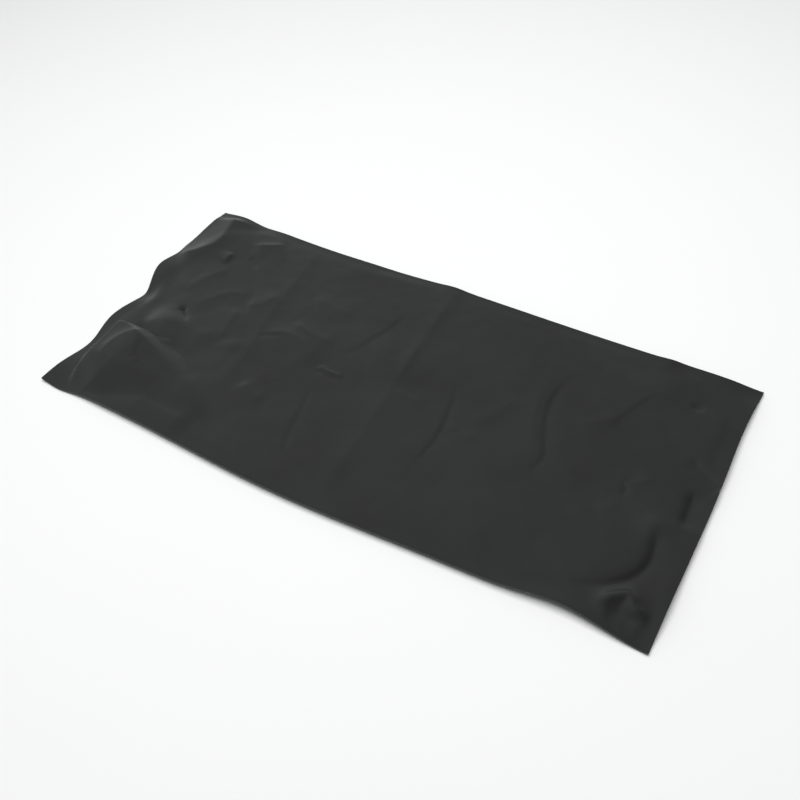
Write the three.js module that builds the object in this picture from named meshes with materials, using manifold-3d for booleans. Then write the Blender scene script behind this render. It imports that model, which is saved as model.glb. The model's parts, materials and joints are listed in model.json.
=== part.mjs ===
// A seedling heat mat: two black vinyl films welded round their edge, with a thin heating pad and a
// flat junction housing sealed between them. Millimetres, +Z up, +X along the mat's length.
// The origin is the middle of the underside, which lies flat on the bench beneath the pad.
// The mat lies as it does out of its packet: edges curled in waves, and the upper film loose over the pad.
import * as THREE from "three";
import { mergeVertices } from "three/addons/utils/BufferGeometryUtils.js";
import Module from "manifold-3d";

const wasm = await Module();
wasm.setup();

// ---- driving dimensions ----

const LENGTH = 527;
const WIDTH = 254;
const BELLY = 4; // how far the front edge bows out at mid length
const FILM = 0.4;
const GAP = 0.1; // clear space between one flat layer and the next
const END_MARGIN = 26; // welded border past the pad's ends
const SIDE_MARGIN = 20; // welded border past the pad's sides
const STAND_OFF = 1.5; // the stiff border hovers this far off the bench
const PAD_CORNER = 45;

const PAD_X = LENGTH / 2 - END_MARGIN;
const PAD_Y = WIDTH / 2 - SIDE_MARGIN;
const BAY_RIGHT = -168; // the pad's front left corner is cut away here to make room for the wiring
const BAY_BACK = -8;
const BAY_CORNER = 8;

const FOAM = 0.8;
const FOIL = 0.1;
const FLEECE = 0.4;
const WIRE = 1.4; // diameter over the heating wire's insulation
const RUN_PITCH = 24;
const RUNS = 8;
const RETURN_X = -218; // where the wire comes back down the pad's left side

const FOAM_Z = FILM + GAP;
const REFLECTOR_Z = FOAM_Z + FOAM + GAP;
const FLEECE_Z = REFLECTOR_Z + FOIL + GAP;
const WIRE_Z = FLEECE_Z + FLEECE + GAP + WIRE / 2; // the wire's own centre line
const SPREADER_Z = WIRE_Z + WIRE / 2 + GAP;
const PAD_TOP = SPREADER_Z + FOIL + GAP;

const HOUSING = { x: -224, y: -70, length: 36, width: 40, corner: 5, wall: 2, floor: 1.2 };
const HOUSING_Z = FILM + 2 * GAP;
const HALF_HEIGHT = 5.5; // each half of the housing
const SPLIT = 0.2; // the joint line between its halves
const SPLIT_Z = HOUSING_Z + HALF_HEIGHT + SPLIT / 2;
const HOUSING_TOP = HOUSING_Z + 2 * HALF_HEIGHT + SPLIT;

const CORD_Y = -64; // the cord's way in
const CORD_BORE = 3.05;
const GLAND = { neck: 3.85, collar: 4.7, collarDepth: 1.6, lip: 4.25, lipDepth: 1.2 };
const LIVE_Y = -76;
const NEUTRAL_Y = -64;
const LEAD = 1.6; // diameter of the three short leads
const CRIMP = { length: 12, bore: 1.05, radius: 1.45, sleeveBore: 1.65, sleeveRadius: 2.1 };
const CUTOUT = { x: -192, y: -46, length: 14, radius: 1.9, sleeveBore: 2.1, sleeveRadius: 2.6 };

// ---- small helpers ----

const { clamp, degToRad, smoothstep } = THREE.MathUtils;

// A closed geometry as a solid that can be cut and joined.
function solidOf(geometry) {
  const bare = geometry.index ? geometry.toNonIndexed() : geometry.clone();
  bare.deleteAttribute("normal");
  bare.deleteAttribute("uv");
  const merged = mergeVertices(bare, 1e-3);
  const mesh = { numProp: 3, vertProperties: merged.attributes.position.array };
  return new wasm.Manifold(new wasm.Mesh({ ...mesh, triVerts: new Uint32Array(merged.index.array) }));
}

// A cut or joined solid as a geometry again.
function geometryOf(solid) {
  const { vertProperties, triVerts } = solid.getMesh();
  const geometry = new THREE.BufferGeometry();
  geometry.setAttribute("position", new THREE.BufferAttribute(vertProperties, 3));
  geometry.setIndex(new THREE.BufferAttribute(triVerts, 1));
  return geometry;
}

// A round bar along +Z, standing on z = 0.
function bar(radius, length, sides = 16) {
  const geometry = new THREE.CylinderGeometry(radius, radius, length, sides);
  return geometry.rotateX(Math.PI / 2).translate(0, 0, length / 2);
}

// A tube along +Z, standing on z = 0.
function tube(bore, radius, length, sides = 12) {
  const corners = [[bore, 0], [radius, 0], [radius, length], [bore, length], [bore, 0]];
  const profile = corners.map(([r, z]) => new THREE.Vector2(r, z));
  return new THREE.LatheGeometry(profile, sides).rotateX(Math.PI / 2);
}

function roundedRectangle(length, width, radius) {
  const x = length / 2 - radius;
  const y = width / 2 - radius;
  const shape = new THREE.Shape();
  shape.absarc(x, -y, radius, -Math.PI / 2, 0);
  shape.absarc(x, y, radius, 0, Math.PI / 2);
  shape.absarc(-x, y, radius, Math.PI / 2, Math.PI);
  shape.absarc(-x, -y, radius, Math.PI, 1.5 * Math.PI);
  return shape;
}

function plate(shape, thickness, curveSegments = 6) {
  return new THREE.ExtrudeGeometry(shape, { depth: thickness, bevelEnabled: false, curveSegments });
}

// A route whose rings sit on its own points, so that a straight run costs only two rings.
class Route extends THREE.Curve {
  constructor(points) {
    super();
    this.points = points;
  }
  getPoint(t, target = new THREE.Vector3()) {
    const at = clamp(t, 0, 1) * (this.points.length - 1);
    const i = Math.min(Math.floor(at), this.points.length - 2);
    return target.lerpVectors(this.points[i], this.points[i + 1], at - i);
  }
  getPointAt(u, target) {
    return this.getPoint(u, target);
  }
  getTangentAt(u, target) {
    return this.getTangent(u, target);
  }
  getSpacedPoints(divisions) {
    return this.getPoints(divisions);
  }
}

function wireAlong(points, diameter, sides = 8) {
  const section = new THREE.Shape();
  section.absarc(0, 0, diameter / 2, 0, 2 * Math.PI);
  const path = new Route(points);
  const options = { steps: points.length - 1, extrudePath: path, curveSegments: sides / 2 };
  return new THREE.ExtrudeGeometry(section, options);
}

// Points round an arc in the wire's plane, angles in degrees.
function arc(x, y, z, radius, from, to, steps = 8) {
  return Array.from({ length: steps + 1 }, (_, i) => {
    const angle = degToRad(from + ((to - from) * i) / steps);
    return new THREE.Vector3(x + radius * Math.cos(angle), y + radius * Math.sin(angle), z);
  });
}

// ---- finishes ----

const finish = (color, roughness, metalness = 0) =>
  new THREE.MeshStandardMaterial({ color, roughness, metalness });

const blackVinyl = finish("#2b2c2a", 0.45);
const greyFoam = finish("#8f9296", 0.9);
const bareFoil = finish("#c9ccce", 0.3, 1);
const whiteFleece = finish("#d9d7cf", 0.95);
const redSilicone = finish("#8c3226", 0.55);
const blackNylon = finish("#1d1e1f", 0.5);
const blackRubber = finish("#191a1a", 0.8);
const brownLead = finish("#5b3a26", 0.5);
const blueLead = finish("#2f4f7d", 0.5);
const tinnedBrass = finish("#b9b4a6", 0.35, 1);
const clearSleeve = finish("#c7c3b6", 0.4);
const zincSteel = finish("#a9acae", 0.35, 1);

const mat = new THREE.Group();
mat.name = "seedling_heat_mat";

function add(name, geometry, material) {
  const mesh = new THREE.Mesh(geometry, material);
  mesh.name = name;
  mat.add(mesh);
  return mesh;
}

// ---- how the films lie ----

// A round-topped hump: 1 at its middle, fading over its two half widths.
function hump(x, y, { at, size, turn = 0 }) {
  const angle = degToRad(turn);
  const dx = x - at[0];
  const dy = y - at[1];
  const along = (dx * Math.cos(angle) + dy * Math.sin(angle)) / size[0];
  const across = (dy * Math.cos(angle) - dx * Math.sin(angle)) / size[1];
  return Math.exp(-along * along - across * across);
}

// Distance outside a rounded rectangle, 0 or less inside it.
function outside(x, y, halfX, halfY, radius) {
  const dx = Math.abs(x) - halfX + radius;
  const dy = Math.abs(y) - halfY + radius;
  return Math.hypot(Math.max(dx, 0), Math.max(dy, 0)) + Math.min(Math.max(dx, dy), 0) - radius;
}

// Where the whole border is lifted off the bench: both films together.
const curls = [
  { at: [-262, 32], size: [26, 16], height: 17 },
  { at: [-262, 76], size: [20, 15], height: 8 },
  { at: [-250, 124], size: [26, 22], height: 10 },
  { at: [-6, 130], size: [16, 14], height: 5 },
  { at: [214, 130], size: [22, 12], height: 2.5 },
  { at: [258, 124], size: [18, 22], height: 3 },
  { at: [262, 20], size: [12, 20], height: 2 },
  { at: [196, -126], size: [34, 14], height: 8 },
  { at: [262, -78], size: [14, 16], height: 4 },
];

function lift(x, y) {
  const border = smoothstep(outside(x, y, PAD_X, PAD_Y, PAD_CORNER), 6, SIDE_MARGIN);
  const clear = smoothstep(housingAway(x, y), 3, 14);
  return Math.min(border, clear) * curls.reduce((sum, curl) => sum + curl.height * hump(x, y, curl), STAND_OFF);
}

// Where the upper film stands clear of what it covers.
const billows = [
  { at: [-214, 32], size: [34, 14], height: 6 },
  { at: [-196, 88], size: [30, 24], height: 5 },
  { at: [-208, -26], size: [40, 12], height: 4 },
  { at: [-108, 16], size: [30, 9], turn: -18, height: 4 },
  { at: [-8, 0], size: [14, 130], height: 2.5 },
  { at: [-136, 20], size: [12, 110], height: 2 },
  { at: [128, 30], size: [12, 70], height: 2 },
  { at: [206, -84], size: [20, 14], turn: 30, height: 4 },
];

// How far the upper film is held up by the pad, the wiring bay, the housing and the cord's way in.
function support(x, y) {
  const drape = (height, away, reach) => height * (1 - smoothstep(away, 5, reach + 5));
  const cutCorner = Math.min(BAY_RIGHT - x, BAY_BACK - y);
  const pad = drape(PAD_TOP - FILM, Math.max(outside(x, y, PAD_X, PAD_Y, PAD_CORNER), cutCorner), 14);
  const bay = drape(6.4, outside(x + 200, y + 50, 30, 42, 10), 14);
  const housing = drape(HOUSING_TOP - FILM + 0.5, housingAway(x, y), 13);
  const cordWay = drape(9.4, Math.max(Math.abs(y - CORD_Y) - 4, x - HOUSING.x), 9);
  return Math.pow([pad, bay, housing, cordWay].reduce((sum, h) => sum + h ** 6, 0), 1 / 6);
}

function housingAway(x, y) {
  const slack = 2; // the film isn't drawn quite tight round it
  const halfX = HOUSING.length / 2 + slack;
  const halfY = HOUSING.width / 2 + slack;
  return outside(x - HOUSING.x, y - HOUSING.y, halfX, halfY, HOUSING.corner + slack);
}

function upperUnderside(x, y) {
  const billow = billows.reduce((sum, b) => sum + b.height * hump(x, y, b), 0);
  const border = smoothstep(outside(x, y, PAD_X, PAD_Y, PAD_CORNER), -8, SIDE_MARGIN);
  return lift(x, y) + FILM + GAP + support(x, y) + billow * (1 - border);
}

// The films' grid lines: close together where the film bends sharply.
const gridLines = (stops) =>
  stops.flatMap(([from, to, count]) =>
    Array.from({ length: count }, (_, i) => from + ((to - from) * i) / count)
  );
const columns = [...gridLines([[0, 60, 12], [60, 100, 4], [100, 452, 16], [452, LENGTH, 9]]), LENGTH];
const rows = [...gridLines([[0, 40, 5], [40, 90, 11], [90, 210, 8], [210, WIDTH, 4]]), WIDTH];

// Where a grid corner lies in plan: the front edge bows out towards mid length.
function planOf(x, y) {
  const front = smoothstep(-y, PAD_Y - 30, WIDTH / 2);
  return [x, y - BELLY * front * Math.cos(Math.PI * clamp((x + 20) / 440, -0.5, 0.5))];
}

// A film on that grid, from its underside's height. Both its faces are split along the same diagonals,
// so that two films which follow one another never meet.
function film(undersideAt) {
  const points = [0, FILM].flatMap((top) =>
    rows.flatMap((v) =>
      columns.map((u) => {
        const x = u - LENGTH / 2;
        const y = v - WIDTH / 2;
        return new THREE.Vector3(...planOf(x, y), undersideAt(x, y) + top);
      })
    )
  );
  const [right, back] = [columns.length - 1, rows.length - 1];
  const at = (level, column, row) => (level * rows.length + row) * columns.length + column;
  const index = [];
  const quad = (a, b, c, d) => index.push(a, b, c, a, c, d);
  const turnedQuad = (a, b, c, d) => index.push(a, c, b, a, d, c);
  for (let c = 0; c < right; c++) {
    for (let r = 0; r < back; r++) {
      quad(at(1, c, r), at(1, c + 1, r), at(1, c + 1, r + 1), at(1, c, r + 1));
      turnedQuad(at(0, c, r), at(0, c + 1, r), at(0, c + 1, r + 1), at(0, c, r + 1));
    }
    quad(at(0, c, 0), at(0, c + 1, 0), at(1, c + 1, 0), at(1, c, 0));
    turnedQuad(at(0, c, back), at(0, c + 1, back), at(1, c + 1, back), at(1, c, back));
  }
  for (let r = 0; r < back; r++) {
    turnedQuad(at(0, 0, r), at(0, 0, r + 1), at(1, 0, r + 1), at(1, 0, r));
    quad(at(0, right, r), at(0, right, r + 1), at(1, right, r + 1), at(1, right, r));
  }
  const geometry = new THREE.BufferGeometry().setFromPoints(points);
  return geometry.setIndex(index);
}

add("bottom_film", film(lift), blackVinyl);
add("top_film", film(upperUnderside), blackVinyl);

// ---- the heating pad: foam, reflector, fleece, wire and heat spreader ----

// The pad's outline with its front left corner cut away, drawn in by inset.
function padOutline(inset) {
  const x = PAD_X - inset;
  const y = PAD_Y - inset;
  const r = PAD_CORNER - inset;
  const bayX = BAY_RIGHT + inset;
  const bayY = BAY_BACK + inset;
  const c = BAY_CORNER;
  const shape = new THREE.Shape();
  shape.absarc(bayX + c, -y + c, c, Math.PI, 1.5 * Math.PI);
  shape.absarc(x - r, -y + r, r, -Math.PI / 2, 0);
  shape.absarc(x - r, y - r, r, 0, Math.PI / 2);
  shape.absarc(-x + r, y - r, r, Math.PI / 2, Math.PI);
  shape.absarc(-x + c, bayY + c, c, Math.PI, 1.5 * Math.PI);
  shape.absarc(bayX - c, bayY - c, c, Math.PI / 2, 0, true);
  return shape;
}

const padLayer = (name, inset, z, thickness, material) =>
  add(name, plate(padOutline(inset), thickness).translate(0, 0, z), material);

padLayer("insulation_foam", 0, FOAM_Z, FOAM, greyFoam);
padLayer("reflector_foil", 1.5, REFLECTOR_Z, FOIL, bareFoil);
padLayer("heater_fleece", 3, FLEECE_Z, FLEECE, whiteFleece);
padLayer("heat_spreader_foil", 4, SPREADER_Z, FOIL, bareFoil);

const bend = RUN_PITCH / 2;
const runY = (run) => (run - (RUNS - 1) / 2) * RUN_PITCH;
const runRight = PAD_X - 26;
const runLeft = (run) => (run < RUNS / 2 ? BAY_RIGHT + 26 : RETURN_X + 28);
const SPLICE_X = -184; // middle of the feed splice, on the first run's line
const SPLICE_Y = -19; // middle of the return splice, on the return run's line
const INTO_CRIMP = 3.5; // how far a wire reaches into a crimp's mouth

function heatingRoute() {
  const z = WIRE_Z;
  const points = [new THREE.Vector3(SPLICE_X + CRIMP.length / 2 - INTO_CRIMP, runY(0), z)];
  for (let run = 0; run < RUNS - 1; run++) {
    const y = runY(run) + bend;
    const goingRight = run % 2 === 0;
    const turn = goingRight ? arc(runRight, y, z, bend, -90, 90) : arc(runLeft(run), y, z, bend, 270, 90);
    points.push(...turn);
  }
  points.push(...arc(RETURN_X + bend, runY(RUNS - 1) - bend, z, bend, 90, 180, 4));
  points.push(new THREE.Vector3(RETURN_X, SPLICE_Y + CRIMP.length / 2 - INTO_CRIMP, z));
  return points;
}

add("heating_wire", wireAlong(heatingRoute(), WIRE), redSilicone);

// ---- the wiring bay: two splices, the thermal cutout and three leads ----

const alongX = (geometry) => geometry.rotateY(Math.PI / 2);
const alongY = (geometry) => geometry.rotateX(-Math.PI / 2);

// A crimped ferrule in its shrink sleeve, its middle at the given place.
function splice(name, turned, x, y, z) {
  const half = CRIMP.length / 2;
  const ferrule = tube(CRIMP.bore, CRIMP.radius, CRIMP.length).translate(0, 0, -half);
  const sleeve = tube(CRIMP.sleeveBore, CRIMP.sleeveRadius, CRIMP.length + 2).translate(0, 0, -half - 1);
  add(name + "_crimp", turned(ferrule).translate(x, y, z), tinnedBrass);
  add(name + "_sleeve", turned(sleeve).translate(x, y, z), clearSleeve);
}

const CRIMP_X = HOUSING.x + 3; // middle of the two crimps inside the housing
const SPLICE_Z = WIRE_Z;
splice("feed_splice", alongX, SPLICE_X, runY(0), SPLICE_Z);
splice("return_splice", alongY, RETURN_X, SPLICE_Y, SPLICE_Z);
splice("live_joint", alongX, CRIMP_X, LIVE_Y, SPLIT_Z);
splice("neutral_joint", alongX, CRIMP_X, NEUTRAL_Y, SPLIT_Z);

const cutout = bar(CUTOUT.radius, CUTOUT.length, 12).translate(0, 0, -CUTOUT.length / 2);
const CUTOUT_Z = FILM + 2 * GAP + CUTOUT.sleeveRadius;
add("thermal_cutout", alongY(cutout).translate(CUTOUT.x, CUTOUT.y, CUTOUT_Z), zincSteel);
const cover = tube(CUTOUT.sleeveBore, CUTOUT.sleeveRadius, CUTOUT.length + 4);
const coverAt = cover.translate(0, 0, -CUTOUT.length / 2 - 2);
add("cutout_sleeve", alongY(coverAt).translate(CUTOUT.x, CUTOUT.y, CUTOUT_Z), clearSleeve);

// A lead is a smooth curve through a few places.
function lead(name, places, steps, material) {
  const curve = new THREE.CatmullRomCurve3(places.map((p) => new THREE.Vector3(...p)));
  add(name, wireAlong(curve.getSpacedPoints(steps), LEAD), material);
}

const JOINT_MOUTH = CRIMP_X + CRIMP.length / 2;
const FEED_MOUTH = SPLICE_X - CRIMP.length / 2;
const RETURN_MOUTH = SPLICE_Y - CRIMP.length / 2;
const CUTOUT_BACK = CUTOUT.y + CUTOUT.length / 2 + 0.3;
const CUTOUT_FRONT = CUTOUT.y - CUTOUT.length / 2 - 0.3;
const WALL_X = HOUSING.x + HOUSING.length / 2;

lead("feed_lead", [
  [JOINT_MOUTH - INTO_CRIMP, LIVE_Y, SPLIT_Z],
  [JOINT_MOUTH + 2, LIVE_Y, SPLIT_Z],
  [WALL_X + 0.3, LIVE_Y, SPLIT_Z],
  [WALL_X + 3, LIVE_Y, SPLIT_Z],
  [FEED_MOUTH - 4.5, runY(0) + 1.5, SPLICE_Z + 0.8],
  [FEED_MOUTH, runY(0), SPLICE_Z],
  [FEED_MOUTH + INTO_CRIMP, runY(0), SPLICE_Z],
], 20, brownLead);

lead("return_lead", [
  [RETURN_X, RETURN_MOUTH + INTO_CRIMP, SPLICE_Z],
  [RETURN_X, RETURN_MOUTH - 1.5, SPLICE_Z],
  [RETURN_X + 5, -32.5, SPLICE_Z + 0.3],
  [CUTOUT.x - 8, -32.5, CUTOUT_Z],
  [CUTOUT.x - 1.2, -34.5, CUTOUT_Z],
  [CUTOUT.x, CUTOUT_BACK, CUTOUT_Z],
], 22, blueLead);

lead("cutout_lead", [
  [CUTOUT.x, CUTOUT_FRONT, CUTOUT_Z],
  [CUTOUT.x - 1.2, CUTOUT_FRONT - 4, CUTOUT_Z + 0.6],
  [CUTOUT.x - 5.5, NEUTRAL_Y, SPLIT_Z - 0.6],
  [WALL_X + 3, NEUTRAL_Y, SPLIT_Z],
  [WALL_X + 0.3, NEUTRAL_Y, SPLIT_Z],
  [JOINT_MOUTH + 1, NEUTRAL_Y, SPLIT_Z],
  [JOINT_MOUTH - INTO_CRIMP, NEUTRAL_Y, SPLIT_Z],
], 20, blueLead);

// ---- the junction housing: two halves, four screws, gland, cord clamp ----

const BOSS = 2.4;
const SCREW = { shank: 0.9, pilot: 1.15, head: 1.7, headHeight: 1.4, headHole: 2, shankLength: 6.6 };
const bossX = HOUSING.length / 2 - 3.4;
const bossY = HOUSING.width / 2 - 3.4;
const bosses = [[1, 1], [1, -1], [-1, -1], [-1, 1]].map(([sx, sy]) => [sx * bossX, sy * bossY]);

const inHousing = (geometry, x, y, z) => geometry.translate(HOUSING.x + x, HOUSING.y + y, z);
const housingBlock = (inset, z, height) => {
  const { length, width, corner } = HOUSING;
  const outline = roundedRectangle(length - 2 * inset, width - 2 * inset, corner - inset);
  return solidOf(inHousing(plate(outline, height, 3), 0, 0, z));
};

// Through the joint line: the gland's seat on the left, and the two leads' holes on the right.
function wallHoles() {
  const seat = alongX(bar(GLAND.neck + 0.2, 6, 20)).translate(LEFT_WALL - 2, CORD_Y, SPLIT_Z);
  const hole = (y) => alongX(bar(LEAD / 2 + 0.3, 6, 12)).translate(WALL_X - 4, y, SPLIT_Z);
  return solidOf(seat).add(solidOf(hole(LIVE_Y))).add(solidOf(hole(NEUTRAL_Y)));
}

const LEFT_WALL = HOUSING.x - HOUSING.length / 2;
const CLAMP = { x: -9, length: 5, halfWidth: 7.7, reach: 5.7, saddle: 2.95, bow: 3.65, ear: [-0.5, 0.9] };
const CLAMP_Y = CORD_Y - HOUSING.y;
const POST_TOP = SPLIT_Z + CLAMP.ear[0] - GAP;

// One half: a tray with four corner bosses, its open side at the joint line.
function housingHalf(z, cavityZ) {
  let half = housingBlock(0, z, HALF_HEIGHT).subtract(housingBlock(HOUSING.wall, cavityZ, HALF_HEIGHT));
  for (const [x, y] of bosses) half = half.add(solidOf(inHousing(bar(BOSS, HALF_HEIGHT, 14), x, y, z)));
  return half.subtract(wallHoles());
}

function junctionBase() {
  let base = housingHalf(HOUSING_Z, HOUSING_Z + HOUSING.floor);
  for (const side of [-1, 1]) {
    const y = CLAMP_Y + side * CLAMP.reach;
    const post = inHousing(bar(1.8, POST_TOP - HOUSING_Z, 12), CLAMP.x, y, HOUSING_Z);
    base = base.add(solidOf(post));
  }
  const pilots = [...bosses, [CLAMP.x, CLAMP_Y - CLAMP.reach], [CLAMP.x, CLAMP_Y + CLAMP.reach]];
  for (const [x, y] of pilots) {
    base = base.subtract(solidOf(inHousing(bar(SCREW.pilot, HALF_HEIGHT + 1, 10), x, y, HOUSING_Z + 1)));
  }
  return base;
}

function junctionLid() {
  const z = HOUSING_Z + HALF_HEIGHT + SPLIT;
  let lid = housingHalf(z, z - HOUSING.floor);
  for (const [x, y] of bosses) {
    const headZ = HOUSING_TOP - SCREW.headHeight - 0.5;
    lid = lid.subtract(solidOf(inHousing(bar(SCREW.pilot, HALF_HEIGHT + 2, 10), x, y, z - 1)));
    lid = lid.subtract(solidOf(inHousing(bar(SCREW.headHole, 3, 12), x, y, headZ)));
  }
  return lid;
}

add("junction_base", geometryOf(junctionBase()), blackNylon);
add("junction_lid", geometryOf(junctionLid()), blackNylon);

// A pan-head screw, its head's underside at z = 0 and a cross recess in its top.
function screw(shankLength) {
  const { shank, head, headHeight } = SCREW;
  const profile = [[0, -shankLength], [shank * 0.5, -shankLength], [shank, -shankLength + 0.8], [shank, 0],
    [head, 0], [head, headHeight * 0.5], [head * 0.7, headHeight], [0, headHeight]];
  const points = profile.map(([r, z]) => new THREE.Vector2(r, z));
  const blank = solidOf(new THREE.LatheGeometry(points, 10).rotateX(Math.PI / 2));
  const slot = (l, w) => solidOf(new THREE.BoxGeometry(l, w, 1).translate(0, 0, headHeight));
  return geometryOf(blank.subtract(slot(1.8, 0.4).add(slot(0.4, 1.8))));
}

bosses.forEach(([x, y], i) => {
  const headZ = HOUSING_TOP - SCREW.headHeight - 0.4;
  add(`lid_screw_${i + 1}`, inHousing(screw(SCREW.shankLength), x, y, headZ), zincSteel);
});

// The clamp is a saddle over the cord: a bow between two flat ears, drawn from the cord's centre line.
function cordClamp() {
  const { halfWidth, saddle, bow, ear } = CLAMP;
  const inner = Math.asin(ear[0] / saddle);
  const outer = Math.asin(ear[1] / bow);
  const shape = new THREE.Shape();
  shape.moveTo(-halfWidth, ear[0]);
  shape.absarc(0, 0, saddle, Math.PI - inner, inner, true);
  shape.lineTo(halfWidth, ear[0]);
  shape.lineTo(halfWidth, ear[1]);
  shape.absarc(0, 0, bow, outer, Math.PI - outer);
  shape.lineTo(-halfWidth, ear[1]);
  const upright = plate(shape, CLAMP.length, 12).rotateX(Math.PI / 2).rotateZ(Math.PI / 2);
  let clamp = solidOf(inHousing(upright, CLAMP.x - CLAMP.length / 2, CLAMP_Y, SPLIT_Z));
  for (const side of [-1, 1]) {
    const hole = inHousing(bar(SCREW.pilot, 4, 10), CLAMP.x, CLAMP_Y + side * CLAMP.reach, SPLIT_Z - 2);
    clamp = clamp.subtract(solidOf(hole));
  }
  return geometryOf(clamp);
}

add("cord_clamp", cordClamp(), blackNylon);
[-1, 1].forEach((side, i) => {
  const headZ = SPLIT_Z + CLAMP.ear[1] + GAP;
  const y = CLAMP_Y + side * CLAMP.reach;
  add(`clamp_screw_${i + 1}`, inHousing(screw(4.4), CLAMP.x, y, headZ), zincSteel);
});

// The gland is a rubber bush in the housing's left wall, with a collar outside and a small lip inside.
function cordGland() {
  const { neck, collar, collarDepth, lip, lipDepth } = GLAND;
  const wall = HOUSING.wall + 2 * GAP;
  const profile = [
    [CORD_BORE, -collarDepth], [collar, -collarDepth], [collar, 0], [neck, 0], [neck, wall],
    [lip, wall], [lip, wall + lipDepth], [CORD_BORE, wall + lipDepth], [CORD_BORE, -collarDepth],
  ].map(([r, z]) => new THREE.Vector2(r, z));
  return new THREE.LatheGeometry(profile, 20).rotateX(Math.PI / 2);
}

add("cord_gland", alongX(cordGland()).translate(LEFT_WALL - GAP, CORD_Y, SPLIT_Z), blackRubber);

export default mat;
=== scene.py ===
# %% [markdown]
# # A seedling heat mat
#
# The mat is two sheets of black vinyl film, welded together round their edge, with a thin heating pad
# and a flat junction housing sealed between them. It has just been unfolded from its packet, so the
# film keeps three straight fold creases, some dents, and a curled, wavy border.
#
# The inner pieces are hard or flat, and the CAD frame has their shape already. They only get a finish.
# The two films are what an eye sees, so they are modelled again here with all their creases.

import json
import math

import bmesh
import bpy
import numpy as np
from mathutils import Matrix, Vector, noise
from mathutils.bvhtree import BVHTree


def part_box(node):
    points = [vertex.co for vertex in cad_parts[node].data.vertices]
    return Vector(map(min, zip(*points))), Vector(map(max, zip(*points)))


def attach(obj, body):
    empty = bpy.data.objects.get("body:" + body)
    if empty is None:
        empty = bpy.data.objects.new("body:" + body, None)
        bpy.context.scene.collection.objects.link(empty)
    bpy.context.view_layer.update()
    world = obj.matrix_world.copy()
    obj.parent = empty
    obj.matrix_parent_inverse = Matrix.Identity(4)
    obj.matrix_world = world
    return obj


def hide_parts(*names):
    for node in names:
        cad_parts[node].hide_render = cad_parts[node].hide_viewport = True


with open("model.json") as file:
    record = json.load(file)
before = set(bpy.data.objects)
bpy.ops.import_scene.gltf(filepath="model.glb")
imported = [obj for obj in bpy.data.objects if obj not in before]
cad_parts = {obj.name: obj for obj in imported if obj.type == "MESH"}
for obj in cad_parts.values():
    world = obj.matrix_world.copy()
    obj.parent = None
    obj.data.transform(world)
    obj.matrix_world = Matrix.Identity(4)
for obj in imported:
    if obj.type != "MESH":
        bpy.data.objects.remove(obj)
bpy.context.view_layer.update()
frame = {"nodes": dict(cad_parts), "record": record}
nodes = frame["nodes"]

# %% [markdown]
# ## The camera
#
# A product view from above and to the right of the front edge. The camera is placed by its direction
# from the mat: back is the way from the mat to the camera, and the camera's own right and up follow
# from it. The small roll tips the picture the way a hand-held camera does.

# %% Place the camera
azimuth, elevation, roll = (math.radians(angle) for angle in (33.88, 46.83, -4.75))
back = Vector((
    math.sin(azimuth) * math.cos(elevation),
    -math.cos(azimuth) * math.cos(elevation),
    math.sin(elevation),
))
level = Vector((0, 0, 1)).cross(back).normalized()
upward = back.cross(level)
right = math.cos(roll) * level + math.sin(roll) * upward
up = math.cos(roll) * upward - math.sin(roll) * level
distance, aside, lowered = 0.7729, 0.00756, 0.01087
place = distance * back + aside * right - lowered * up

camera_data = bpy.data.cameras.new("camera")
camera_data.lens = 43.17
camera_data.sensor_width = 36
camera_data.clip_start = 0.01
camera = bpy.data.objects.new("camera", camera_data)
camera.matrix_world = Matrix.Translation(place) @ Matrix((right, up, back)).transposed().to_4x4()
bpy.context.collection.objects.link(camera)
bpy.context.scene.camera = camera
print("camera at", [round(v, 3) for v in place])

# %% [markdown]
# ## Node helpers
#
# A material is a small graph. One helper adds a node and sets its sockets, so that each finish below
# reads as a short list of what is mixed with what.

# %% Helpers for node graphs
def add_node(tree, kind, settings=None, **values):
    """Adds a node. settings are its properties, values its sockets, with i0 and i1 for numbered ones."""
    node = tree.nodes.new(kind)
    for name, value in (settings or {}).items():
        setattr(node, name, value)
    for name, value in values.items():
        numbered = name[0] == "i" and name[1:].isdigit()
        socket = node.inputs[int(name[1:]) if numbered else name.replace("_", " ")]
        if isinstance(value, bpy.types.NodeSocket):
            tree.links.new(value, socket)
        else:
            socket.default_value = value
    return node


# %% [markdown]
# ## Studio
#
# A plain pale floor, one wide soft lamp overhead, and a surrounding light. Black film shows its shape
# by what it reflects, so the surround is uneven: brightest near the horizon, dimmest about half-way
# up, a little brighter again at the ceiling, and much brighter on the left than on the right. A facet
# that leans to the left goes pale and one that leans to the right goes dark. The overhead lamp lights
# the floor but is hidden from reflections.

# %% Light the studio
scene = bpy.context.scene
scene.view_settings.view_transform = "Standard"

world = bpy.data.worlds.new("studio")
scene.world = world
world.use_nodes = True
sky = world.node_tree
sky.nodes.clear()
direction = add_node(sky, "ShaderNodeTexCoord")
split = add_node(sky, "ShaderNodeSeparateXYZ", i0=direction.outputs["Generated"])
DIMMEST = 0.74
low_band = add_node(sky, "ShaderNodeMapRange", i0=split.outputs["Z"],
                    i1=0.1, i2=DIMMEST, i3=0.5, i4=0.315)
ceiling = add_node(sky, "ShaderNodeMapRange", i0=split.outputs["Z"],
                   i1=DIMMEST, i2=1.0, i3=0.0, i4=0.07)
by_height = add_node(sky, "ShaderNodeMath", {"operation": "ADD"},
                     i0=low_band.outputs[0], i1=ceiling.outputs[0])
bright_side = (-0.99, 0.12, 0)
facing = add_node(sky, "ShaderNodeVectorMath", {"operation": "DOT_PRODUCT"},
                  i0=direction.outputs["Generated"], i1=bright_side)
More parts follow.
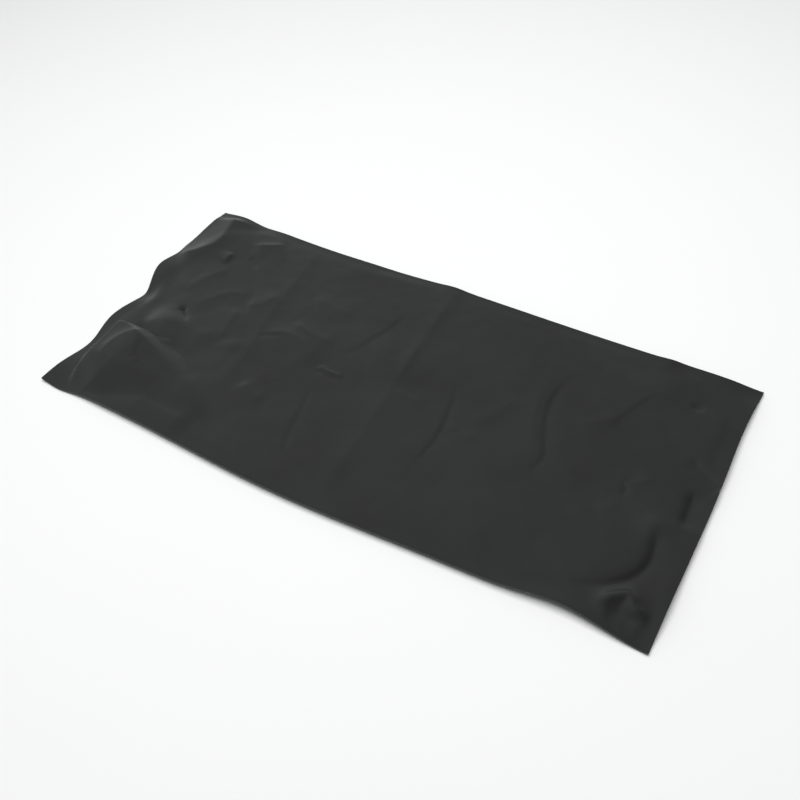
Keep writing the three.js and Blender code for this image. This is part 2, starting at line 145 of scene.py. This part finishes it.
by_side = add_node(sky, "ShaderNodeMapRange", i0=facing.outputs["Value"],
                   i1=-0.5, i2=0.85, i3=0.2, i4=1.5)
strength = add_node(sky, "ShaderNodeMath", {"operation": "MULTIPLY"},
                    i0=by_height.outputs[0], i1=by_side.outputs[0])
glow = add_node(sky, "ShaderNodeBackground", Color=(0.97, 0.985, 1.0, 1), Strength=strength.outputs[0])
add_node(sky, "ShaderNodeOutputWorld", Surface=glow.outputs[0])

lamp_data = bpy.data.lights.new("overhead", "AREA")
lamp_data.shape = "RECTANGLE"
lamp_data.size, lamp_data.size_y = 1.6, 1.6
lamp_data.energy = 26
lamp = bpy.data.objects.new("overhead", lamp_data)
lamp.location = (-0.1, 0.1, 1.5)
lamp.visible_glossy = False
bpy.context.collection.objects.link(lamp)
print("studio lamp W", lamp_data.energy)

# %% [markdown]
# The floor is one wide sheet of matt paper, a hair below the bench line so that it doesn't flicker
# against the mat's underside.

# %% Lay the floor
bpy.ops.mesh.primitive_plane_add(size=8, location=(0, 0, -0.0002))
floor = bpy.context.object
floor.name = "floor"
paper = bpy.data.materials.new("floor_paper")
paper.use_nodes = True
tree = paper.node_tree
shade = tree.nodes["Principled BSDF"]
shade.inputs["Roughness"].default_value = 0.9
shade.inputs["Specular IOR Level"].default_value = 0.1
where = add_node(tree, "ShaderNodeTexCoord")
cloud = add_node(tree, "ShaderNodeTexNoise", Vector=where.outputs["Object"], Scale=3.0)
tint = add_node(tree, "ShaderNodeMapRange", i0=cloud.outputs[0], i3=0.9, i4=0.915)
tree.links.new(tint.outputs[0], shade.inputs["Base Color"])
floor.data.materials.append(paper)
print("floor width m", floor.dimensions.x)

# %% [markdown]
# ## How the film lies
#
# The film is a height over the bench at each place in plan, in millimetres from the mat's middle. It
# could be draped by a cloth simulation, but old fold lines and dents in stiff vinyl stay where the
# packing made them, so each is written down as one feature:
#
# - a hump is a smooth swelling or dent,
# - a fold is a line with a sharp top that falls away on both sides, each side with its own width.

# %% Shapes that a film can take
def ease(value, low, high):
    """0 below low, 1 above high, and smooth between them."""
    t = np.clip((value - low) / (high - low), 0, 1)
    return t * t * (3 - 2 * t)


def hump(x, y, at, size, height, turn=0):
    """A round-topped swelling, its half widths in size, turned by some degrees."""
    c, s = math.cos(math.radians(turn)), math.sin(math.radians(turn))
    dx, dy = x - at[0], y - at[1]
    long, short = (dx * c + dy * s) / size[0], (dy * c - dx * s) / size[1]
    return height * np.exp(-(long**2) - short**2)


def smooth_line(points, steps=6):
    """A smooth curve through the points, a Catmull-Rom spline."""
    p = np.array([points[0], *points, points[-1]], float)
    t = np.linspace(0, 1, steps, endpoint=False)[:, None]
    spans = []
    for a, b, c, d in zip(p, p[1:], p[2:], p[3:]):
        bend, twist = 2 * a - 5 * b + 4 * c - d, 3 * (b - c) + d - a
        spans.append(b + 0.5 * t * (c - a + t * (bend + t * twist)))
    return np.vstack([*spans, p[-1:]])


def beside_line(x, y, points):
    """Distance to a line, which side of it (+1 is its left), and how far along the line (0 to 1)."""
    line = smooth_line(points)
    runs = np.hypot(*np.diff(line, axis=0).T)
    start = np.concatenate([[0], np.cumsum(runs)])
    distance = np.full(x.shape, np.inf)
    side, share = np.ones(x.shape), np.zeros(x.shape)
    for a, b, length, before in zip(line, line[1:], runs, start):
        ux, uy = (b - a) / length
        t = np.clip((x - a[0]) * ux + (y - a[1]) * uy, 0, length)
        dx, dy = x - a[0] - t * ux, y - a[1] - t * uy
        d = np.hypot(dx, dy)
        near = d < distance
        distance = np.where(near, d, distance)
        side = np.where(near, np.where(ux * dy - uy * dx > 0, 1, -1), side)
        share = np.where(near, (before + t) / start[-1], share)
    return distance, side, share


def fold(x, y, points, height, left, right, sharp=1.0, fade=(0.25, 0.25)):
    """A fold along a line: height at its top, dying away over left and right millimetres."""
    distance, side, share = beside_line(x, y, points)
    reach = np.where(side > 0, left, right)
    profile = np.exp(-(np.sqrt(distance**2 + sharp**2) - sharp) / reach)
    ends = ease(share, 0, fade[0]) * ease(1 - share, 0, fade[1])
    return height * profile * ends


def outside(x, y, half_x, half_y, corner):
    """Distance outside a rounded rectangle; negative inside it."""
    dx, dy = np.abs(x) - half_x + corner, np.abs(y) - half_y + corner
    return np.hypot(np.maximum(dx, 0), np.maximum(dy, 0)) + np.minimum(np.maximum(dx, dy), 0) - corner


# %% [markdown]
# ## The border, which lifts both films
#
# Round the pad the two films are welded, and the weld has pulled the edge into waves. The stiff border
# hovers a little off the bench, and a wave lifts it further or lets it droop. The pad inside stays
# flat, so the whole rise fades out where the pad begins: over RISE_OVER for the waves, and over the
# shorter FOLD_OVER for the folds.

# %% Sizes, in millimetres
LENGTH, WIDTH = 527, 254
PAD_X, PAD_Y, PAD_CORNER = 237.5, 107, 45
FILM = 0.4
STAND_OFF = 4.0
RISE_OVER, FOLD_OVER = 18, 9

# %% Waves and folds of the border
EDGE_WAVES = [
    # the left end: a curled lobe, a droop beside it, and the long slope at the back corner
    dict(at=(-268, 31), size=(30, 22), height=2.6),
    dict(at=(-262, -1), size=(13, 12), height=-3.4),
    dict(at=(-266, -74), size=(16, 26), height=-2.0),
    dict(at=(-266, 86), size=(15, 30), height=-2.6),
    dict(at=(-237, 131), size=(14, 14), height=1.6),
    dict(at=(-244, -134), size=(30, 27), height=-3.6),
    # the back edge
    dict(at=(-266, 130), size=(12, 10), height=-1.5),
    dict(at=(-213, 131), size=(16, 14), height=-2.0),
    dict(at=(-8, 131), size=(13, 12), height=1.8),
    dict(at=(-58, 131), size=(26, 12), height=-1.0),
    dict(at=(190, 131), size=(9, 12), height=1.2),
    dict(at=(264, 126), size=(22, 18), height=-3.0),
    # the front edge and the right end
    dict(at=(196, -131), size=(30, 14), height=3.0),
    dict(at=(258, -124), size=(18, 14), height=-3.2),
    dict(at=(262, -86), size=(13, 20), height=1.6),
    dict(at=(266, 35), size=(10, 24), height=0.8),
]
BORDER_FOLDS = [
    # the crest above the long slope at the back left corner
    dict(points=[(-262, 50), (-250, 60), (-240, 75), (-238, 88), (-241, 104), (-245, 124)],
         height=3.8, left=13, right=15, fade=(0.15, 0.1)),
    # the dent at the front right corner: a crisp rim at the back and a steep face below it
    dict(points=[(219, -117), (226, -106), (238, -96), (245, -104), (258, -106)],
         height=5.0, left=5, right=6, sharp=1.2, fade=(0.3, 0.25)),
    dict(points=[(226, -116), (240, -111), (252, -113)], height=-1.8, left=5, right=6, fade=(0.3, 0.3)),
    # the soft step down the right border, and a crease that runs out to the edge
    dict(points=[(250, -30), (249, -10), (247, 10)],
         height=-3.0, left=3.2, right=13, sharp=1.0, fade=(0.3, 0.35)),
    dict(points=[(236, 36), (247, 26), (264, 18)], height=-1.3, left=2.5, right=9, fade=(0.3, 0.02)),
    # the foot of the pad round its front right corner
    dict(points=[(159, -116), (189, -110), (214, -99), (230, -86), (238.5, -72.5), (240.5, -60),
                 (238, -45), (232, -35)],
         height=-3.0, left=3.0, right=11, sharp=1.2, fade=(0.75, 0.15)),
]


def pad_away(x, y):
    return outside(x, y, PAD_X, PAD_Y, PAD_CORNER)


def edge_rise(x, y):
    waves = sum(hump(x, y, **wave) for wave in EDGE_WAVES)
    return np.maximum(ease(pad_away(x, y), 0, RISE_OVER) * (waves + STAND_OFF), 0)


def border_features(x, y):
    return sum(fold(x, y, **f) for f in BORDER_FOLDS)


def lower_underside(x, y):
    folds = ease(pad_away(x, y), 0, FOLD_OVER) * border_features(x, y)
    return np.maximum(edge_rise(x, y) + folds, 0)


print("edge waves", len(EDGE_WAVES), "border folds", len(BORDER_FOLDS))


# %% [markdown]
# ## What the upper film lies on
#
# The film should clear the real pieces, so their tops are found by casting rays straight down at a grid
# of places 1 mm apart. Stretched film can't follow a sharp corner: it slopes away from it. So every
# top is spread outwards under a cone, and the highest cone at each place holds the film up. The
# clearance is lost where the film is drawn in afterwards. At the housing's left wall that is about
# 2 mm, and the gland, the lid, the base and a hair of the foam stand through the films there.

# %% Heights that hold the upper film up
inner = bmesh.new()
for name, node in nodes.items():
    if name not in ("top_film", "bottom_film"):
        inner.from_mesh(node.data)
solid = BVHTree.FromBMesh(inner)
inner.free()

CONE_SLOPE, CONE_REACH = 2.0, 5
GRID_X, GRID_Y = np.arange(-270, 271), np.arange(-135, 136)


def top_below(x, y):
    """The height of the highest inner piece at a place, or 0 where there is none."""
    hit = solid.ray_cast(Vector((x, y, 50)) / 1000, Vector((0, 0, -1)))[0]
    return hit.z * 1000 if hit else 0.0


tops = np.array([[top_below(x, y) for y in GRID_Y] for x in GRID_X])
cones = tops.copy()
for dx in range(-CONE_REACH, CONE_REACH + 1):
    for dy in range(-CONE_REACH, CONE_REACH + 1):
        step = math.hypot(dx, dy)
        if 0 < step <= CONE_REACH:
            cones = np.maximum(cones, np.roll(tops, (dx, dy), (0, 1)) - CONE_SLOPE * (step - 1))
print("pad top mm", round(float(np.median(tops)), 2), "highest piece mm", round(float(tops.max()), 2))


def held_up(x, y):
    """The height of the cones at any place, read between the grid's points."""
    gx = np.clip(x - GRID_X[0], 0, len(GRID_X) - 1.1)
    gy = np.clip(y - GRID_Y[0], 0, len(GRID_Y) - 1.1)
    i, j = gx.astype(int), gy.astype(int)
    u, v = gx - i, gy - j
    near = cones[i, j] * (1 - v) + cones[i, j + 1] * v
    far = cones[i + 1, j] * (1 - v) + cones[i + 1, j + 1] * v
    return near * (1 - u) + far * u


# %% [markdown]
# ## How the upper film hangs
#
# It lies flat on the pad and is pulled up over the junction housing like a small tent, steep behind
# and to the left of it and long and slack to the right. The tent stands a little askew, so its roof is
# worked out along and across a line turned by TENT_TURN, and its left and back walls are not turned.
# The lower of the two at each place is the tent.

# %% Tent over the housing
PAD_LEVEL = 3.95
housing_box = [1000 * v for v in (*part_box("junction_base")[0], *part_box("junction_lid")[1])]
HOUSING_X, HOUSING_Y = (housing_box[0] + housing_box[3]) / 2, (housing_box[1] + housing_box[4]) / 2
HOUSING_TOP = housing_box[5]
TENT_TURN, TENT_RISE = math.radians(-13), 9.6
TENT_TAIL, WALL_SLOPE = 112, 2.2
print("housing middle mm", round(HOUSING_X, 1), round(HOUSING_Y, 1), "top", round(HOUSING_TOP, 1))


def tent(x, y):
    """How far the film is pulled up over the housing, in its slack tail and its steep walls."""
    dx, dy = x - HOUSING_X, y - HOUSING_Y
    u = dx * math.cos(TENT_TURN) + dy * math.sin(TENT_TURN)
    v = dy * math.cos(TENT_TURN) - dx * math.sin(TENT_TURN)
    tail = np.maximum(u - 14, 0)
    behind = np.maximum(v - 16 + 0.2 * tail, 0) / 20
    front = np.maximum(np.minimum(-18 + 0.4 * tail, 0) - v, 0) / np.maximum(36 - 0.2 * tail, 20)
    slack = np.clip(1 - np.sqrt((tail / TENT_TAIL) ** 2 + behind**2 + front**2), 0, 1)
    roof = TENT_RISE * 1.15 * slack**2 / (slack + 0.15)
    turned_in = 0.012 * np.maximum(-dy - 20, 0) ** 2
    outwards, backwards = np.maximum(-dx - 15.5 + turned_in, 0), np.maximum(dy - 17, 0)
    wall = np.maximum(np.hypot(outwards, backwards) - 4, 0)
    left = TENT_RISE - 1.2 + 0.05 * np.clip(dx + 18, 0, 24) - WALL_SLOPE * wall
    return np.maximum(np.minimum(roof, left), 0)


def drape(x, y):
    return PAD_LEVEL * (1 - ease(pad_away(x, y), 0, RISE_OVER)) + tent(x, y)


# %% [markdown]
# ## Creases and dents
#
# Three straight folds cross the mat at its quarter points, because it was packed folded in four.
# The rest are dents, pinches and short folds from handling. Each one is listed with its place. In a
# fold, left and right are the sides of somebody who walks along the points in their order.

# %% The upper film's own features
FOLDS = [
    # the three packing folds, and the flattened places beside them
    dict(points=[(-126, -86), (-125, -32), (-134, 18), (-141, 78), (-144, 122)],
         height=0.7, left=14, right=7, sharp=1.5, fade=(0.3, 0.1)),
    dict(points=[(12, -125), (9, -61), (4, -1), (-1, 59), (-3, 126)],
         height=0.9, left=12, right=7, sharp=1.4, fade=(0.15, 0.02)),
    dict(points=[(4, 0), (2, 22), (-1, 60)],
         height=0.8, left=26, right=14, sharp=0.8, fade=(0.35, 0.6)),
    dict(points=[(136, -46), (138, -26), (140, -13), (135, -1), (127, 19), (122, 43), (124, 63),
                 (126, 79)],
         height=-1.1, left=1.1, right=7, sharp=0.5, fade=(0.35, 0.35)),
    dict(points=[(128, -30), (130, -12), (125, 0), (117, 18), (112, 44), (113, 64)],
         height=0.6, left=12, right=4, fade=(0.3, 0.3)),
    # the long arm that ends in the sharp little fold
    dict(points=[(-129, -4), (-117, 5), (-104, 9), (-88, 5), (-72, -4), (-60, -11)],
         height=1.7, left=8, right=12, sharp=0.8),
    dict(points=[(-130, -6), (-119, 1), (-107, 6)], height=-0.5, left=1.5, right=2.5, sharp=0.6),
    dict(points=[(-62, -12), (-50, -14), (-37, -14)],
         height=1.3, left=1.8, right=0.8, sharp=0.3, fade=(0.15, 0.15)),
    dict(points=[(-61, -15), (-50, -16.5), (-38, -16.5)],
         height=-0.6, left=0.9, right=1.8, sharp=0.4, fade=(0.15, 0.15)),
    dict(points=[(-113, 24), (-99, 20), (-80, 17), (-62, 17)], height=1.2, left=8, right=5),
    dict(points=[(-28, 80), (-32, 56), (-39, 34), (-46, 16), (-50, 0)],
         height=-0.6, left=22, right=1.4, sharp=0.5, fade=(0.2, 0.4)),
    dict(points=[(-10, 34), (-22, 28), (-36, 22)],
         height=0.7, left=26, right=14, sharp=0.8, fade=(0.4, 0.4)),
    dict(points=[(-113, 54), (-103, 58), (-86, 52), (-68, 57)], height=0.8, left=9, right=9),
    # creases of the left part
    dict(points=[(-203, -1), (-193, 17), (-183, 29), (-171, 33), (-161, 27)],
         height=0.9, left=7, right=9),
    dict(points=[(-162, 23), (-152, 27), (-146, 37), (-143, 51)],
         height=1.1, left=14, right=6, sharp=0.6, fade=(0.2, 0.4)),
    dict(points=[(-153, -27), (-158, -15), (-161, 2), (-164, 19)],
         height=1.1, left=14, right=8, sharp=0.6),
    dict(points=[(-208, 93), (-197, 99), (-188, 104), (-177, 112)],
         height=1.7, left=4, right=14, sharp=0.5, fade=(0.35, 0.25)),
    dict(points=[(-198, 79), (-190, 74), (-182, 66)], height=-0.6, left=1.5, right=1.8, sharp=0.5),
    dict(points=[(-223, 10), (-218, 32), (-211, 47), (-205, 59)],
         height=0.9, left=12, right=7, sharp=1.5),
    dict(points=[(-216, 59), (-215, 67), (-216, 77)],
         height=1.6, left=9, right=1.1, sharp=0.5, fade=(0.35, 0.35)),
    dict(points=[(-210, -6), (-205, -10), (-200, -14), (-193, -21)],
         height=-2.6, left=1.7, right=2.0, sharp=0.5, fade=(0.08, 0.6)),
    dict(points=[(-226, -33), (-210, -28), (-195, -25), (-175, -27), (-155, -30)],
         height=1.2, left=13, right=15, sharp=1.5),
    dict(points=[(-195, -110), (-165, -109), (-145, -109), (-112, -110)],
         height=2.0, left=14, right=18, sharp=0.6, fade=(0.35, 0.2)),
    # the ridge of the tent over the housing, the tuck behind it, and the shoulder behind that
    dict(points=[(-230, -94), (-229, -84), (-229, -74), (-225, -62), (-217, -53), (-206, -49)],
         height=1.4, left=3.5, right=36, sharp=0.4, fade=(0.3, 0.25)),
    dict(points=[(-160, -56), (-184, -53), (-199, -49), (-209, -45), (-226, -42), (-236, -43)],
         height=-1.8, left=1.5, right=5, sharp=0.5, fade=(0.5, 0.15)),
    dict(points=[(-234, -31), (-214, -34), (-199, -39), (-184, -43), (-164, -46)],
         height=2.4, left=15, right=6, fade=(0.2, 0.6)),
    # creases of the middle
    dict(points=[(-54, -34), (-46, -63), (-41, -85), (-31, -105)],
         height=-0.5, left=4, right=1.2, sharp=0.5),
    dict(points=[(-109, -55), (-99, -59), (-88, -64), (-78, -63)], height=1.1, left=5, right=7),
    dict(points=[(3, -3), (15, -8), (29, -9), (41, -12)],
         height=0.8, left=4, right=14, fade=(0.3, 0.4)),
    # creases of the right part
    dict(points=[(58, -73), (60, -53), (61, -35), (59, -17), (54, 5), (48, 23), (42, 37)],
         height=-0.85, left=0.9, right=6, sharp=0.4, fade=(0.3, 0.5)),
    dict(points=[(76, -13), (86, 1), (94, 19), (102, 33)], height=0.8, left=9, right=8),
    dict(points=[(169, 24), (174, 46), (179, 61), (186, 76), (195, 87)],
         height=0.55, left=13, right=0.7, sharp=0.3, fade=(0.35, 0.2)),
    dict(points=[(147, 26), (163, 36), (175, 48)], height=0.8, left=8, right=12),
    dict(points=[(204, -11), (212, -2), (220, 8)],
         height=0.6, left=3, right=3, sharp=0.4, fade=(0.05, 0.5)),
    dict(points=[(204, -11), (197, -4), (189, 2)],
         height=0.6, left=3, right=3, sharp=0.4, fade=(0.05, 0.5)),
    dict(points=[(204, -22), (204, -12), (198, -9)],
         height=-1.3, left=1.6, right=1.6, sharp=0.4, fade=(0.3, 0.2)),
    dict(points=[(191, -40), (200, -34), (204, -24)], height=0.6, left=5, right=5),
]
HUMPS = [
    dict(at=(-211, -24), size=(14, 9), height=1.2),
    dict(at=(-141, -24), size=(9, 7), height=1.1),
    dict(at=(-209, -6), size=(2.4, 2), height=-1.8),
    dict(at=(-208, 20), size=(26, 20), height=0.8),
    dict(at=(-36, 33), size=(22, 12), height=0.5),
    dict(at=(68, -20), size=(5, 4), height=0.5),
    dict(at=(82, -22), size=(8, 5), height=0.7),
    dict(at=(192, 90), size=(18, 16), height=1.1),
    dict(at=(179, -44), size=(14, 7), height=0.9, turn=-20),
    dict(at=(231, -36), size=(9, 8), height=1.4),
    dict(at=(224, 85), size=(3.4, 2.6), height=-2.6),
    dict(at=(-197, -82), size=(2.5, 2), height=0.5),
]


def uneven(x, y, size, seed):
    """Slow random waves about this many millimetres across."""
    return np.array([noise.noise(Vector((a / size, b / size, seed))) for a, b in zip(x, y)])


SNAPPINESS = 7  # how sharply the film turns from lying on a piece to hanging free, for each mm


def upper_underside(x, y):
    """Where the upper film's lower face lies: free where it can be, and held up where it must."""
    loose = 1 - ease(pad_away(x, y), 6, 20)
    own = sum(fold(x, y, **f) for f in FOLDS) + sum(hump(x, y, **h) for h in HUMPS)
    waves = (0.5 + 0.45 * uneven(x, y, 38, 3.7) + 0.22 * uneven(x, y, 15, 8.1)
             + 0.08 * uneven(x, y, 6, 5.3))
    free = FILM + edge_rise(x, y) + border_features(x, y) + drape(x, y) + loose * (waves + 0.1)
    free += own * (1 - ease(pad_away(x, y), 10, 20))
    firm = np.maximum(held_up(x, y), lower_underside(x, y) + FILM) + 0.05
    return firm + np.logaddexp(0, (free - firm) * SNAPPINESS) / SNAPPINESS


print("folds", len(FOLDS), "humps", len(HUMPS))


# %% [markdown]
# ## Making a film
#
# A film starts as a flat grid, finer for the upper film. Each corner is moved to its height, the
# outline is drawn in where the real cut edge bows, and solidify gives the film its thickness. The
# drawing in comes after the heights are found, so towards the edges the film sits to the side of the
# place that its height belongs to, by up to 7.5 mm at the edge itself. The negative thickness leaves
# the finished shell with its faces pointing inwards.

# %% Build a film from its height
def bulge(along, middle, half_width):
    """1 at the middle of a stretch of edge, dying away on both sides."""
    return np.exp(-(((along - middle) / half_width) ** 2))


def edge_bow(x, y):
    """How far a place moves in plan, because the long edges aren't straight."""
    front = 7.5 * bulge(x, -20, 120) - 4.5 * bulge(x, 203, 34) + 2 * bulge(x, -243, 16)
    behind = 5.5 * bulge(x, -130, 95) + 3 * bulge(x, 120, 130)
    left = (7.5 * bulge(y, -78, 26) + 7.5 * bulge(y, -10, 22)
            - 4 * bulge(y, 33, 16) - 3 * bulge(y, 92, 30))
    right = 2.5 * bulge(y, 80, 50)
    near, far = ease(-y, PAD_Y - 30, WIDTH / 2), ease(y, PAD_Y - 30, WIDTH / 2)
    start, end = ease(-x, PAD_X - 8, LENGTH / 2), ease(x, PAD_X - 8, LENGTH / 2)
    return x + start * left - end * right, y - near * front - far * behind


CRISP_EDGE = math.radians(60)  # a sharper edge than this keeps a hard line


def make_film(name, underside, cell):
    """A film with its lower face at underside(x, y), on a grid of about cell millimetres."""
    bm = bmesh.new()
    columns, rows = round(LENGTH / cell), round(WIDTH / cell)
    bmesh.ops.create_grid(bm, x_segments=columns, y_segments=rows, size=0.5)
    flat = np.array([v.co for v in bm.verts])
    x, y = flat[:, 0] * LENGTH, flat[:, 1] * WIDTH
    z = underside(x, y)
    px, py = edge_bow(x, y)
    for vert, place in zip(bm.verts, np.column_stack([px, py, z]) / 1000):
        vert.co = place
    bmesh.ops.recalc_face_normals(bm, faces=bm.faces)
    if sum(f.normal.z for f in bm.faces) < 0:
        bmesh.ops.reverse_faces(bm, faces=bm.faces)
    bmesh.ops.solidify(bm, geom=bm.faces, thickness=-FILM / 1000)
    for face in bm.faces:
        face.smooth = True
    for edge in bm.edges:
        edge.smooth = edge.calc_face_angle(0) < CRISP_EDGE
    mesh = bpy.data.meshes.new(name)
    bm.to_mesh(mesh)
    bm.free()
    film = bpy.data.objects.new(name, mesh)
    bpy.context.collection.objects.link(film)
    low, high = round(float(z.min()), 2), round(float(z.max()), 2)
    print(name, "faces", len(mesh.polygons), "height mm", low, high)
    return film


lower = make_film("lower_film", lower_underside, 2.6)
upper = make_film("upper_film", upper_underside, 1.72)

# %% [markdown]
# ## Shared effects
#
# Two effects are used by many finishes, so each is a node group: mottle drifts between two colours,
# and grain gives a height for fine surface roughness.

# %% Node groups
def new_group(name, inputs, outputs):
    """A node group with its sockets made, and the nodes that take its inputs and give its outputs."""
    group = bpy.data.node_groups.new(name, "ShaderNodeTree")
    for label, kind, value in inputs:
        socket = group.interface.new_socket(label, in_out="INPUT", socket_type=kind)
        if value is not None:
            socket.default_value = value
    for label, kind in outputs:
        group.interface.new_socket(label, in_out="OUTPUT", socket_type=kind)
    return group, group.nodes.new("NodeGroupInput"), group.nodes.new("NodeGroupOutput")


mottle, take, give = new_group(
    "mottle",
    [("Vector", "NodeSocketVector", None), ("Scale", "NodeSocketFloat", 30.0),
     ("Dark", "NodeSocketColor", (0.1, 0.1, 0.1, 1)), ("Light", "NodeSocketColor", (0.2, 0.2, 0.2, 1))],
    [("Color", "NodeSocketColor"), ("Mask", "NodeSocketFloat")])
patches = add_node(mottle, "ShaderNodeTexNoise", Detail=5.0,
                   Vector=take.outputs["Vector"], Scale=take.outputs["Scale"])
contrast = add_node(mottle, "ShaderNodeMapRange", i0=patches.outputs[0], i1=0.32, i2=0.68)
blend = add_node(mottle, "ShaderNodeMix", {"data_type": "RGBA"}, i0=contrast.outputs[0],
                 i6=take.outputs["Dark"], i7=take.outputs["Light"])
mottle.links.new(blend.outputs[2], give.inputs["Color"])
mottle.links.new(contrast.outputs[0], give.inputs["Mask"])

grain, take, give = new_group(
    "grain",
    [("Vector", "NodeSocketVector", None), ("Scale", "NodeSocketFloat", 900.0)],
    [("Height", "NodeSocketFloat")])
pebbles = add_node(grain, "ShaderNodeTexVoronoi", {"feature": "SMOOTH_F1"},
                   Vector=take.outputs["Vector"], Scale=take.outputs["Scale"])
dust = add_node(grain, "ShaderNodeTexNoise", Detail=3.0,
                Vector=take.outputs["Vector"], Scale=take.outputs["Scale"])
both = add_node(grain, "ShaderNodeMath", {"operation": "ADD"},
                i0=pebbles.outputs[0], i1=dust.outputs[0])
grain.links.new(both.outputs[0], give.inputs["Height"])


GRAIN_DEPTH = 0.0002


def use_group(tree, group, **values):
    return add_node(tree, "ShaderNodeGroup", {"node_tree": group}, **values)


def finish(name, dark, light, rough, metallic=0.0, patch=30.0, grain_scale=900.0, bump=0.1):
    """A finish whose colour drifts from dark to light, whose roughness follows, with a fine grain."""
    material = bpy.data.materials.new(name)
    material.use_nodes = True
    tree = material.node_tree
    surface = tree.nodes["Principled BSDF"]
    surface.inputs["Metallic"].default_value = metallic
    place = add_node(tree, "ShaderNodeTexCoord").outputs["Object"]
    colour = use_group(tree, mottle, Vector=place, Scale=patch, Dark=(*dark, 1), Light=(*light, 1))
    tree.links.new(colour.outputs["Color"], surface.inputs["Base Color"])
    roughness = add_node(tree, "ShaderNodeMapRange", i0=colour.outputs["Mask"],
                         i3=rough[0], i4=rough[1])
    tree.links.new(roughness.outputs[0], surface.inputs["Roughness"])
    fine = use_group(tree, grain, Vector=place, Scale=grain_scale)
    relief = add_node(tree, "ShaderNodeBump", Strength=bump, Distance=GRAIN_DEPTH,
                      Height=fine.outputs["Height"])
    tree.links.new(relief.outputs[0], surface.inputs["Normal"])
    return material


print("node groups", mottle.name, grain.name)

# %% [markdown]
# ## The vinyl
#
# Soft black vinyl is never quite black. It is a neutral dark grey with a faint cool bloom, semi-matt,
# with a very fine grain. The bloom drifts slowly from place to place, and the gloss drifts with it.

# %% Finish the two films
vinyl = finish("black_vinyl", (0.0155, 0.0158, 0.0150), (0.0195, 0.0200, 0.0203), (0.33, 0.42),
               patch=14.0, grain_scale=1400.0, bump=0.06)
for film in (lower, upper):
    film.data.materials.append(vinyl)
    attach(film, "root")
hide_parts("bottom_film")
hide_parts("top_film")
print("vinyl on", lower.name, "and", upper.name)

# %% [markdown]
# ## The pieces between the films
#
# None of them shows while the mat is whole, but each has its own finish.

# %% Finish the inner pieces
FINISHES = {
    "foam": finish("grey_foam", (0.2, 0.21, 0.22), (0.3, 0.31, 0.32),
                   (0.85, 0.95), grain_scale=700.0, bump=0.6),
    "foil": finish("bare_foil", (0.72, 0.73, 0.74), (0.82, 0.83, 0.84),
                   (0.18, 0.32), 1.0, grain_scale=300.0, bump=0.15),
    "fleece": finish("white_fleece", (0.6, 0.59, 0.54), (0.74, 0.73, 0.69),
                     (0.9, 1.0), grain_scale=1100.0, bump=0.9),
    "silicone": finish("red_silicone", (0.22, 0.03, 0.018), (0.3, 0.045, 0.026), (0.45, 0.6)),
    "tinned_brass": finish("tinned_brass", (0.44, 0.42, 0.36), (0.58, 0.56, 0.5), (0.3, 0.45), 1.0),
    "sleeve": finish("cloudy_sleeve", (0.5, 0.47, 0.4), (0.62, 0.6, 0.53), (0.35, 0.5)),
    "zinc_steel": finish("zinc_steel", (0.36, 0.37, 0.38), (0.5, 0.51, 0.53), (0.3, 0.45), 1.0),
    "brown_lead": finish("brown_lead", (0.08, 0.034, 0.016), (0.12, 0.052, 0.026), (0.4, 0.5)),
    "blue_lead": finish("blue_lead", (0.022, 0.06, 0.16), (0.034, 0.09, 0.22), (0.4, 0.5)),
    "nylon": finish("black_nylon", (0.01, 0.011, 0.012), (0.018, 0.019, 0.02),
                    (0.4, 0.55), grain_scale=1600.0, bump=0.3),
    "gland_rubber": finish("gland_rubber", (0.008, 0.008, 0.008), (0.014, 0.014, 0.014), (0.7, 0.85)),
}
for part in frame["record"]["subparts"]:
    if part["material_slot"] in FINISHES:
        piece = nodes[part["node"]]
        piece.data.materials.clear()
        piece.data.materials.append(FINISHES[part["material_slot"]])
print("finished", len(nodes) - 2, "inner pieces")
